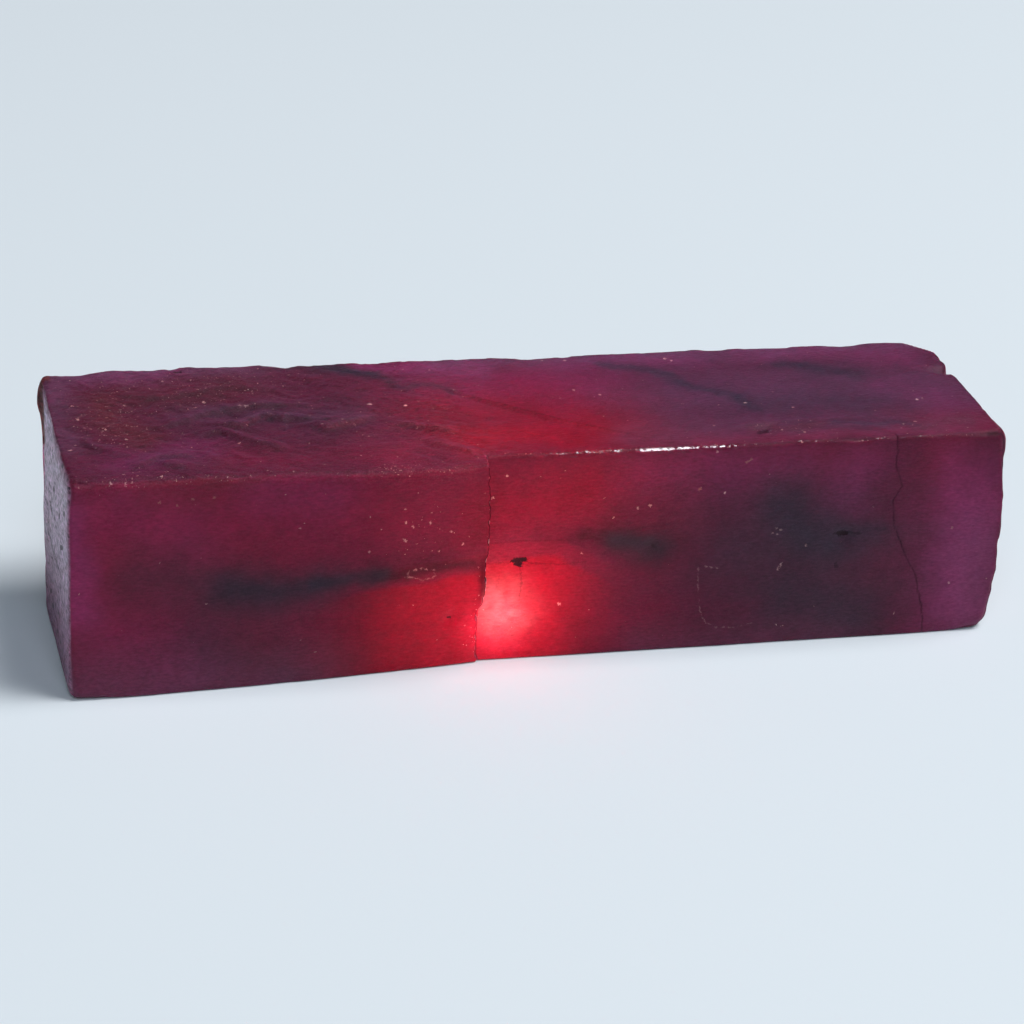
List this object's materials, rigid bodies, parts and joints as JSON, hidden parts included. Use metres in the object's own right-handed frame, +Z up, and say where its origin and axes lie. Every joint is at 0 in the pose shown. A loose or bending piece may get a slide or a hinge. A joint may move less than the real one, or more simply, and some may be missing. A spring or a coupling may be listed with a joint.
{
  "type": "rough ruby bar",
  "caption": "Rough ruby: a cloudy purplish red bar of corundum with sawn faces, a ridged top, broken ends and a crack across its front, lying on its flat underside.",
  "frame": {"origin": "centre of the footprint box on the surface that the bar rests on", "axes": "+X along the bar's length, from the end with the crust rim to the end with the notched corner; -Y out of the cracked front; +Z up"},
  "size_m": [0.1014, 0.0278, 0.0245],
  "materials": {
    "cloudy_ruby": "cloudy translucent purplish red stone with slate coloured clouds, a waxy sheen on the sawn faces and a dull rough top"
  },
  "bodies": {
    "root": {"rough_ruby": "cloudy_ruby"}
  },
  "joints": []
}
